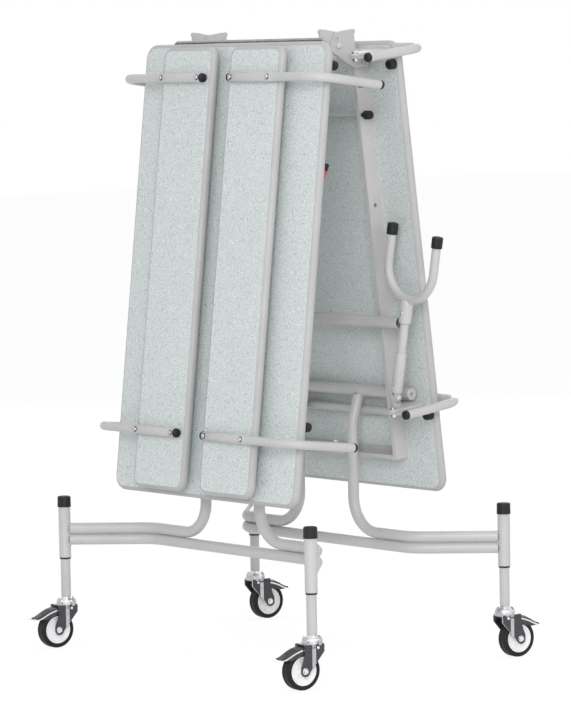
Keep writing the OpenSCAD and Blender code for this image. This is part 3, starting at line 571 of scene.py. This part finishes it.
def piece(name, bm, finishes, body, stands_for=(), bevel=0.0, angle=38):
    """Turns a drawn shape into a piece of the scene that rides on its body."""
    bmesh.ops.recalc_face_normals(bm, faces=bm.faces)
    mesh = bpy.data.meshes.new(name)
    bm.to_mesh(mesh)
    bm.free()
    made = bpy.data.objects.new(name, mesh)
    bpy.context.scene.collection.objects.link(made)
    for finish in finishes:
        mesh.materials.append(finish)
    mesh.shade_smooth()
    mesh.set_sharp_from_angle(angle=math.radians(angle))
    if bevel:
        edge = made.modifiers.new("soft_edges", "BEVEL")
        edge.width, edge.segments, edge.limit_method = bevel, 2, "ANGLE"
        edge.angle_limit = math.radians(38)
        edge.harden_normals = True
    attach(made, body)
    if stands_for:
        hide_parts(*stands_for)
    return made


def softened(node, name, finish, body, width):
    """The frame's own plate or bolt work with its sharp edges taken off."""
    bm = bmesh.new()
    bm.from_mesh(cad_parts[node].data)
    for face in bm.faces:
        face.material_index = 0
    bmesh.ops.remove_doubles(bm, verts=bm.verts, dist=2e-6)
    bmesh.ops.dissolve_limit(bm, angle_limit=math.radians(1), verts=bm.verts, edges=bm.edges)
    return piece(name, bm, [finish], body, [node], bevel=width)


# boards


def laminated_board(bm, place, low, high, r):
    """Board with round corners: laminate faces (finish 0) and a bullnose edge band (finish 1)."""
    e = BOARD_T / 2
    corners = [(high[0] - r, high[1] - r, 0), (low[0] + r, high[1] - r, 90),
               (low[0] + r, low[1] + r, 180), (high[0] - r, low[1] + r, 270)]
    rim = []
    for cx, cy, start in corners:
        for k in range(13):
            a = math.radians(start + 90 * k / 12)
            way = Vector((math.cos(a), math.sin(a), 0))
            rim.append((Vector((cx, cy, 0)) + way * (r - e), way))
    rows = [(-90, 0), (-83, 0), (-80, -0.35), (-77, 0), (-60, 0), (-45, 0), (-30, 0), (-15, 0), (0, 0)]
    rows += [(-a, dip) for a, dip in reversed(rows[:-1])]
    rings = []
    for a, dip in rows:
        out, up = (e + dip) * math.cos(math.radians(a)), (e + dip) * math.sin(math.radians(a))
        rings.append([bm.verts.new(place @ (p + way * out + Vector((0, 0, low[2] + e + up))))
                      for p, way in rim])
    for i, (a, b) in enumerate(zip(rings, rings[1:])):
        edge = 1 if 1 <= i <= len(rings) - 3 else 0
        join_rings(bm, a, b, edge)
    bm.faces.new(rings[0])
    bm.faces.new(rings[-1])


def make_top(rear):
    """One half of the table top."""
    bm = bmesh.new()
    laminated_board(bm, half_place(rear), *TOP_BOX, 40)
    piece(end_of(rear) + "_table_board", bm, [laminate, edge_band], end_of(rear) + "_half",
          [end_of(rear) + "_top"])


def make_bench(rear, left):
    """Seat board on two arms, with their pivot lugs, bolts, plugs and bushes."""
    name = f"{end_of(rear)}_{'left' if left else 'right'}"
    body = name + "_bench_set"
    place = bench_place(rear, left)
    bm = bmesh.new()
    laminated_board(bm, place, *SEAT_BOX, 30)
    piece(name + "_seat_board", bm, [laminate, edge_band], body, [name + "_bench"])

    tubes, heads, rings, collars, plugs, bushes = (bmesh.new() for _ in range(6))
    pivot_x, pivot_z = ARM_PIVOT
    for u in arm_places(rear):
        here = place @ move(y=-u)
        # inner tube under the seat's bolts, and the outer tube that slips into it
        turned(tubes, here @ move(60, 0, ARM_Z) @ spin(90, "Y"),
               [(10.6, 0), (12.2, 0), (SLEEVE_R, 0.4), (SLEEVE_R, 178.6), (12.1, 179.4), (11.4, 179.6),
                (10.6, 179)],
               closed=True)
        bend = bent_path([(236, 0, ARM_Z), (ARM_X, 0, ARM_Z), (ARM_X, 0, ARM_END)], 68)
        swept(tubes, here, bend, ARM_R, 40)
        # pivot lug, welded to the down leg
        lug = [(pivot_x, -2.6), (405, 24.5), (405, -17.8), (pivot_x, -30.6)]
        lug += arc(pivot_x, pivot_z, 14, 270, 90, 18)[1:-1]
        cut_plate(tubes, here @ move(y=3) @ spin(90, "X"), lug, 6, [(pivot_x, pivot_z, 7.6)])
        for side in (-3, 3):
            bead = [(404.6, side, z) for z in (24, 3, -17)]
            swept(tubes, here, bead, [1.2, 1.9, 1.2], 8)
        for x in (70, 221):
            bolt = here @ move(x)
            # black ring under each bolt head: painted shade of the dimple the bolt sits in
            turned(rings, bolt, [(0, 195.2), (7.3, 195.2), (7.6, 196.4), (7.6, 198.4), (7.2, 198.9),
                                 (0, 198.9)], 32)
            turned(heads, bolt, [(0, 198.6), (6.2, 198.6), (6.3, 199.3), (5.6, 200.7), (4.2, 201.7),
                                 (2.6, 202.0), (2.4, 200.4), (0, 200.4)], 32)
            turned(heads, bolt, rod_profile(4, 156, 173.4), 24)
        turned(collars, here @ move(ARM_X, 0, -25),
               [(0, 0), (12.3, 0), (SLEEVE_R, 0.5), (SLEEVE_R, 8.5), (12.3, 9), (0, 9)])
        seat_end = here @ move(62, 0, ARM_Z) @ spin(-90, "Y")
        free_end = here @ move(ARM_X, 0, ARM_END) @ spin(180, "X")
        for end in (seat_end, free_end):
            turned(plugs, end, [(0, 0), (11.4, 0), (12.5, 0.5), (12.5, 2.6), (12.1, 3.0), (12.1, 7.2),
                                (11.2, 9.4), (9.0, 11.0), (5.0, 11.8), (0, 12)])
        turned(bushes, here @ move(pivot_x, 3, pivot_z) @ spin(90, "X"),
               [(5.2, 0), (7.3, 0), (7.5, 0.3), (7.5, 5.7), (7.3, 6), (5.2, 6)], 32, closed=True)
    piece(name + "_arm_tubes", tubes, [powder], body, [name + "_bench_arms"],
          bevel=0.0005)
    piece(name + "_seat_bolts", heads, [zinc], body)
    # black rings: painted shade of the bolt dimples
    piece(name + "_bolt_painted_shade_rings", rings, [rubber], body)
    piece(name + "_arm_collars", collars, [powder], body)
    piece(name + "_arm_plugs", plugs, [rubber], body, [name + "_arm_caps"])
    piece(name + "_pivot_bushes", bushes, [dark_nylon], body, [name + "_arm_bushes"])


# lock, lever, buffers and prop


def make_lock_bar():
    """Round bar across both rails, with an eye on each end."""
    bm = bmesh.new()
    place = half_place(False)
    path = [(-LOCK_X, LOCK_PIVOT_Y, LOCK_Z), (-LOCK_X, 8, LOCK_Z), (LOCK_X, 8, LOCK_Z),
            (LOCK_X, LOCK_PIVOT_Y, LOCK_Z)]
    swept(bm, place, bent_path(path, 14), 5, 28)
    for x in (-LOCK_X, LOCK_X):
        turned(bm, place @ move(x - 5, LOCK_PIVOT_Y, LOCK_Z) @ spin(90, "Y"),
               [(5.1, 0), (9.5, 0), (10, 0.5), (10, 9.5), (9.5, 10), (5.1, 10)], 32, closed=True)
    piece("locking_bar", bm, [dark_steel], "lock_bar", ["lock_bar"])


def make_release_lever():
    """Steel eye and rod, a grooved red grip and a black end cap."""
    place = half_place(False)
    stem = place @ along(LEVER_FOOT, LEVER_TIP)
    length = (LEVER_TIP - LEVER_FOOT).length
    steel = bmesh.new()
    turned(steel, place @ move(LEVER_FOOT.x - 9, LEVER_FOOT.y, LEVER_FOOT.z) @ spin(90, "Y"),
           [(5.1, 0), (10.3, 0), (11, 0.7), (11, 17.3), (10.3, 18), (5.1, 18)], 32, closed=True)
    turned(steel, stem, rod_profile(6.4, 8, 40), 32)
    piece("lever_foot", steel, [zinc], "release_lever", ["release_lever"])
    grip = bmesh.new()
    profile = [(0, 26), (7.2, 26), (8, 26.8), (8, 34)]
    groove = 34
    while groove < length - 33:
        profile += [(7.75, groove + 0.8), (7.75, groove + 1.6), (8, groove + 2.4), (8, groove + 9)]
        groove += 9
    profile += [(8, length - 20), (7.4, length - 19.4), (0, length - 19.4)]
    turned(grip, stem, profile, 32)
    piece("lever_grip", grip, [red_plastic], "release_lever")
    cap = bmesh.new()
    turned(cap, stem, [(0, length - 20), (7.8, length - 20), (8, length - 19.5), (8, length - 6),
                       (7.4, length - 3), (5.6, length - 1), (3, length - 0.2), (0, length)], 32)
    piece("lever_end_cap", cap, [rubber], "release_lever")


def make_buffers(rear):
    """Four buffers under the board, and a fluted knob on the outside of each rail."""
    place, name = half_place(rear), end_of(rear)
    bm = bmesh.new()
    for side in (-1, 1):
        for u in (62, 1006):
            turned(bm, place @ move(side * 363, -u, 85),
                   [(0, 3.5), (3.2, 3.5), (3.4, 0.6), (8.5, 0.2), (11.6, 0.6), (12.6, 2), (14, 17.5),
                    (14, 19.9), (0, 19.9)])
        knob = place @ move(side * 257.05, -193, 70) @ spin(90 * side, "Y")
        turned(bm, knob, [(0, 0), (5, 0), (5, 12), (10.8, 12), (12, 13.4), (12, 30), (10.8, 32.8),
                          (8, 34), (0, 34)])
        for k in range(12):
            turned(bm, knob @ spin(30 * k, "Z") @ move(x=11.3), rod_profile(0.7, 14.5, 29.5, 0.2), 8)
    piece(name + "_rubber_buffers", bm, [rubber], name + "_half", [name + "_buffers"])


def make_prop():
    """The rear half's leg: clevis, sleeve, tube, socket and a U-shaped fork with two rubber feet."""
    place = half_place(True)
    here = place @ prop_place()
    tube, sleeve, nuts, tips = (bmesh.new() for _ in range(4))
    ear = [(24, -9), (24, 11), (4, 11)] + arc(0, 0, 10, 80, 296, 18)
    for x in (4.4, -9.4):
        cut_plate(tube, side_view(place @ move(*PROP_PIVOT), x), ear, 5, [(0, 0, 5.1)])
    turned(tube, here, rod_profile(12, 18, 262))
    turned(tube, here, [(0, 209), (16.2, 209), (17, 210), (17, 258), (16.4, 266), (13.5, 272), (12, 274),
                        (0, 274)])
    fork = [(-FORK_X, 0, 454), (-FORK_X, 0, 274), (FORK_X, 0, 274), (FORK_X, 0, 454)]
    swept(tube, here, bent_path(fork, 85.5, 20), 12, 36)
    piece("prop_tube", tube, [powder], "prop_leg", ["rear_prop"], bevel=0.0005)
    turned(sleeve, here, [(12.1, 18.5), (14.2, 18), (15, 19), (15, 125), (14.4, 127.4), (13, 128),
                          (12.1, 127.5)], closed=True)
    piece("prop_sleeve", sleeve, [powder], "prop_leg")
    for side in (1, -1):
        head = here @ move(0, 0, 236) @ spin(90 * side, "X")
        turned(nuts, head, [(0, 16.6), (5.4, 16.6), (5.4, 18.2), (4.4, 19.8), (2.4, 20.4), (0, 20.4)],
               24)
        head = here @ move(0, 0, 36) @ spin(90 * side, "X")
        turned(nuts, head, [(0, 14.6), (4.6, 14.6), (4.6, 16.2), (3.4, 17.2), (0, 17.4)], 24)
    piece("prop_rivets", nuts, [bright], "prop_leg")
    for x in (-FORK_X, FORK_X):
        turned(tips, here @ move(x, 0, 432),
               [(12.1, 0.2), (14.4, 0), (15, 0.6), (15, 5), (14.5, 5.6), (14.5, 7), (15, 7.6), (15, 26),
                (14.2, 29), (12, 30), (0, 30), (0, 23), (12.1, 23)])
    piece("prop_feet", tips, [rubber], "prop_leg", ["rear_prop_tips"])


def make_frame_plates(rear):
    """Rails, channels, hinge plates, brackets and bolts, with softened edges."""
    name, body = end_of(rear), end_of(rear) + "_half"
    softened(name + "_rails", name + "_side_rails", powder, body, 0.0009)
    softened(name + "_cross_members", name + "_channels_and_bars", powder, body, 0.0008)
    softened(name + "_hinge_plates", name + "_fold_plates", powder, body, 0.0009)
    softened(name + "_arm_brackets", name + "_bracket_plates", powder, body, 0.0010)
    softened(name + "_hardware", name + "_bolts", bright, body, 0.0004)


# base frames


def meeting_line(centre, way, post_axis, post_r, tube_r, steps=48):
    """Line where a round tube along way meets the skin of a thicker round post at centre."""
    way, post_axis = Vector(way).normalized(), Vector(post_axis).normalized()
    across = post_axis.cross(way).normalized()
    up = way.cross(across)
    line = []
    for k in range(steps):
        a = 2 * math.pi * k / steps
        side, rise = tube_r * math.cos(a), tube_r * math.sin(a)
        reach = math.sqrt(max(post_r ** 2 - side ** 2, 0))
        line.append(Vector(centre) + way * reach + across * side + up * rise)
    return line


def weld(bm, place, centre, way, post_axis, post_r, size):
    """Slightly uneven bead where a foot tube meets a thicker one."""
    line = meeting_line(centre, way, post_axis, post_r, FOOT_R - 0.4)
    sizes = [size * (1 + 0.18 * math.sin(2.4 * k)) for k in range(len(line))]
    swept(bm, place, line, sizes, 8, closed=True)


def make_base(rear):
    """Two posts, the lower foot tube, the two upper ones that rise into uprights, and the pivot tube."""
    name, place = end_of(rear), base_place(rear)
    body = name + "_base"
    foot, upper, posts, caps, collars = (bmesh.new() for _ in range(5))
    for side in (-1, 1):
        post_foot, bend_foot = Vector((side * POST_X, POST_Y, 0)), Vector((side * BEND_X, BEND_Y, 0))
        way = (bend_foot - post_foot).normalized()
        start = post_foot + way * 15.6
        low, high = Vector((0, 0, LOW_TUBE_Z)), Vector((0, 0, HIGH_TUBE_Z))
        for height, bm in ((low, foot), (high, upper)):
            weld(bm, place, post_foot + height, way, (0, 0, 1), 16.5, 1.7)
        joint = Vector((side * UPRIGHT_X, PIVOT_Y, PIVOT_Z))
        knee = Vector((side * UPRIGHT_X, BEND_Y, PIVOT_Z - 90))
        rise = (joint - knee).normalized()
        path = [start + high, bend_foot + high, Vector((side * UPRIGHT_X, BEND_Y, HIGH_TUBE_Z)), knee,
                joint - rise * 14]
        swept(upper, place, bent_path(path, BEND_R, 16), FOOT_R, 48)
        weld(upper, place, joint, -rise, (1, 0, 0), 16, 1.6)
        if side < 0:
            mirrored = [Vector((-p.x, p.y, p.z)) for p in (bend_foot + low, start + low)]
            path = [start + low, bend_foot + low] + mirrored
            swept(foot, place, bent_path(path, BEND_R, 16), FOOT_R, 48)
        post = place @ move(side * POST_X, POST_Y)
        turned(posts, post, [(13.6, 248), (16.3, 248), (16.7, 248.6), (16.7, 253), (16.5, 253.6),
                             (16.5, 414), (16, 414.5), (13.6, 414.5)], closed=True)
        turned(posts, post, [(6.1, 140.4), (13.1, 140), (13.5, 140.5), (13.5, 296), (6.1, 296)],
               closed=True)
        turned(collars, post, [(13.5, 243.5), (15.2, 243.5), (15.5, 244), (15.5, 247.7), (13.5, 247.9)],
               closed=True)
        ribs = [(16.6, 388), (18.6, 388), (19, 388.5)]
        for k in range(5):
            h, draft = 390 + 4.4 * k, 0.12 * k
            ribs += [(r - draft, h + up) for r, up in ((19, 0), (18.3, 0.9), (18.3, 2.1), (19, 3.0))]
        ribs += [(18.3, 413), (17.6, 416), (15, 417.6), (9, 418), (0, 418)]
        turned(caps, post, ribs + [(0, 414.6), (16.6, 414.6)], closed=True)
    # pivot tube with a plugged, threaded hole in each end
    hole = [point for k in range(9) for point in ((4.0, 2 + 2 * k), (4.5, 3 + 2 * k))]
    for side in (-1, 1):
        end = place @ move(side * PIVOT_REACH, PIVOT_Y, PIVOT_Z) @ spin(-90 * side, "Y")
        turned(upper, end, [(0, 20), (4, 20)] + hole[::-1] +
               [(4.6, 0.6), (5, 0), (13.2, 0), (13.8, 0.6), (14.2, 0), (15.4, 0), (16, 0.6),
                (16, PIVOT_REACH)])
    piece(name + "_lower_foot", foot, [powder], body, [name + "_foot_tube"])
    piece(name + "_upright_tubes", upper, [powder], body, [name + "_uprights"])
    piece(name + "_caster_posts", posts, [powder], body, [name + "_posts"])
    piece(name + "_post_collars", collars, [rubber], body)
    piece(name + "_ribbed_caps", caps, [rubber], body, [name + "_post_caps"])


# casters


def make_wheel(name, axle):
    """Rubber tyre with a grooved crown on a white centre with eight ribs a side."""
    body = name + "_wheel"
    tyre = bmesh.new()
    side = [(38, 0), (38, -15.4), (38.6, -16), (40.2, -16), (40.8, -15.3), (42.2, -15.3), (42.8, -15.9),
            (44, -15.9)]
    shoulder = [(44 + 6 * math.sin(math.radians(a)), -10 - 6 * math.cos(math.radians(a)))
                for a in (12, 25, 40, 55, 70, 85)]
    crown = [(50, -8), (50, -2.6), (49.7, -2.2), (49.7, -1.8), (50, -1.4), (50, 0)]
    turned(tyre, axle, both_sides(side + shoulder + crown), 96, closed=True)
    piece(name + "_tyre_ring", tyre, [tread], body, [name + "_tyre"])

    hub = bmesh.new()
    web = [(5.1, 0), (5.1, -16), (6, -16.9), (10.6, -16.9), (11.8, -16), (12.2, -12.4), (13.6, -10.6),
           (16, -10), (29, -10), (31.6, -10.6), (33.4, -12.6), (34.2, -14.4), (35.4, -15), (37.3, -15),
           (37.95, -14.4), (37.95, 0)]
    turned(hub, axle, both_sides(web), 72, closed=True)
    for k in range(8):
        for turn in (0, 180):
            rib = axle @ spin(turn, "X") @ spin(45 * k + 22.5, "Z") @ move(0, 0, 9.6)
            swept(hub, rib, [(11.5, 0, 2.2), (20, 0, 0.9), (33, 0, 1.6)], [1.1, 0.9, 1.0], 8)
    piece(name + "_wheel_centre", hub, [white_nylon], body, [name + "_hub"])


def make_swivel_fork(name, place, axle):
    """Pressed fork with its race and nuts, and dark sheets on the outside of its cheeks that are painted
    reflection of the curved fork.
    """
    body = name + "_caster"
    fork, painted_reflection_sheets, chrome = bmesh.new(), bmesh.new(), bmesh.new()
    # swivel race in two rings, and the stud
    turned(chrome, place, [(0, 117), (22, 117), (22, 118.6), (21.4, 119.2), (21.4, 122.6), (22, 123.2),
                           (22, 127), (20.4, 130.5), (16.4, 134.2), (14.6, 136.2), (14.6, 138.6),
                           (13.8, 139.4), (0, 139.4)])
    turned(chrome, place, rod_profile(6, 139, 178), 24)
    cheek = [(24, 114), (24, 98), (-23, 44)] + arc(AXLE_Y, AXLE_Z, 13, -28, -172, 12)
    cheek += [(-49, 60), (-36, 92), (-36, 114)]
    for x in (19, -22):
        cut_plate(fork, side_view(place, x), cheek, 3, [(AXLE_Y, AXLE_Z, 5.1)])
    # arched crown, as seen from the end
    outer = [(22, 106), (22, 112), (20.5, 116), (17, 118)]
    inner = [(19, 106), (19, 111), (18, 113.6), (15.5, 115)]
    top = [(-x, z) for x, z in outer] + outer[::-1] + inner + [(-x, z) for x, z in reversed(inner)]
    cut_plate(fork, place @ move(0, 24, 0) @ spin(90, "X"), top, 59)
    # raised shoulders round the swivel race
    section = [(21.6, 113.8), (27.5, 113.8), (27.5, 122), (26.2, 129), (23.6, 134), (21.6, 136)]
    for first, last in ((8, 172), (240, 300)):
        cuts = []
        for k in range(17):
            a = math.radians(first + (last - first) * k / 16)
            cuts.append([fork.verts.new(place @ Vector((r * math.cos(a), r * math.sin(a), h)))
                         for r, h in section])
        for a, b in zip(cuts, cuts[1:]):
            join_rings(fork, a, b)
        fork.faces.new(cuts[0])
        fork.faces.new(cuts[-1])
    piece(name + "_pressed_fork", fork, [zinc], body, [name + "_fork"], bevel=0.0006)

    # two dark sheets on each cheek, painted dark reflection of the curved fork, with a strip of bare
    # metal between them for its bright line
    trailing = [(-15.5, 117.5), (-15.5, 55.5)] + arc(AXLE_Y, AXLE_Z, 14, -12, -168, 12)
    trailing += [(-49.5, 60), (-41, 82), (-37, 98), (-37, 117.5)]
    leading = [(-1.7, 117.5), (-1.7, 70.5), (21, 97), (21, 117.5)]
    for side in (-1, 1):
        head = axle @ spin(0 if side > 0 else 180, "X")
        turned(chrome, head, [(0, 21.6), (8.2, 21.6), (8.4, 22), (8.4, 23), (7.9, 23.3), (0, 23.3)], 32)
        hexagon_head(chrome, head, 7.2, 23.2, 28)
        turned(chrome, head, [(0, 16), (5, 16), (5, 28.2), (4.2, 28.9), (0, 28.9)], 24)
        pin = place @ move(0, 4, 108) @ spin(90 * side, "Y")
        turned(chrome, pin, [(0, 0), (3, 0), (3, 22), (4.6, 22), (4.6, 22.9), (3.4, 24), (0, 24.2)], 20)
        outside = side_view(place, 22.05 if side > 0 else -24.05)
        cut_plate(painted_reflection_sheets, outside, trailing, 2, [(AXLE_Y, AXLE_Z, 9.2)])
        cut_plate(painted_reflection_sheets, outside, leading, 2, [(4, 108, 5)])
    # end face under the crown: a thin dark sheet, also painted dark reflection
    cut_plate(painted_reflection_sheets, place @ move(0, -35, 0) @ spin(90, "X"), top, 0.8)
    piece(name + "_race_and_nuts", chrome, [bright], body)
    # dark sheets: painted reflection of the fork, not parts of their own
    piece(name + "_fork_painted_reflection", painted_reflection_sheets, [dark_nylon], body, bevel=0.0007)


def make_brake_pedal(name, place):
    """Arched pedal over the wheel, with side skirts, grip bars, bright edges and a toe plate."""
    body = name + "_brake"
    pedal, toe = bmesh.new(), bmesh.new()
    # along the pedal: y, height of its upper side, height of its under side, half width
    sections = [(11, 112, 108.4, 14), (6, 113, 108.4, 16.6), (-20, 113, 108.5, 17.6),
                (-44, 111, 106.4, 17.6), (-58, 107.2, 101.8, 17.4), (-70, 102, 96.8, 17.0),
                (-82, 95.6, 90, 16.2), (-93, 90.2, 84.8, 15.2), (-104, 87.6, 82.6, 14.0)]
    rings = []
    for y, za, zb, w in sections:
        shape = [(-w, zb + 0.6), (-w, za - 2.2), (-w + 1.2, za - 0.9), (-w * 0.5, za - 0.2), (0, za),
                 (w * 0.5, za - 0.2), (w - 1.2, za - 0.9), (w, za - 2.2), (w, zb + 0.6), (w - 0.6, zb),
                 (-w + 0.6, zb)]
        rings.append([pedal.verts.new(place @ Vector((x, y, z))) for x, z in shape])
    for a, b in zip(rings, rings[1:]):
        join_rings(pedal, a, b)
    pedal.faces.new(rings[0])
    pedal.faces.new(rings[-1])
    skirt = [(10, 111), (10, 102), (-4, 101), (-24, 97.5), (-50, 86), (-74, 80.6), (-100, 82.8),
             (-92, 88), (-82, 93), (-70, 99.6), (-58, 105), (-44, 108.6), (-20, 111)]
    for x in (16.35, -17.55):
        cut_plate(pedal, side_view(place, x), skirt, 1.2, [(4, 108, 3.1)])
    edge = [(-2, 108.6), (-20, 108), (-44, 105.4), (-58, 101), (-70, 96), (-82, 90), (-93, 85.6),
            (-100, 83.4)]
    edge += [(y, z - 4.2) for y, z in reversed(edge[:-1])]
    for x in (17.5, -17.9):
        cut_plate(toe, side_view(place, x), edge, 0.4)
    for k in range(3):
        y, z = -60 - 9 * k, 107.2 - 4.4 * k
        swept(pedal, place, [(-11 + k, y, z), (0, y, z + 0.8), (11 - k, y, z)], [0.5, 0.9, 0.5], 8)
    piece(name + "_brake_pedal", pedal, [dark_nylon], body, [name + "_pedal"])
    toe_plate = [(-13.4, -98), (-13.4, -113)] + arc(-9.4, -113.6, 4, 180, 270, 6)
    toe_plate += arc(9.4, -113.6, 4, 270, 360, 6) + [(13.4, -98)]
    cut_plate(toe, place @ move(0, 0, 83.1), toe_plate, 2.2)
    piece(name + "_pedal_toe", toe, [bright], body, bevel=0.0005)


def make_caster(rear, right):
    """Wheel, swivel fork and brake pedal under one post."""
    name = f"{end_of(rear)}_{'right' if right else 'left'}"
    place = caster_place(rear, right)
    axle = place @ move(0, AXLE_Y, AXLE_Z) @ spin(90, "Y")
    make_wheel(name, axle)
    make_swivel_fork(name, place, axle)
    make_brake_pedal(name, place)


# the whole table

for rear in (False, True):
    make_top(rear)
    make_frame_plates(rear)
    make_buffers(rear)
    make_base(rear)
    for second in (False, True):
        make_bench(rear, second)
        make_caster(rear, second)
make_lock_bar()
make_release_lever()
make_prop()
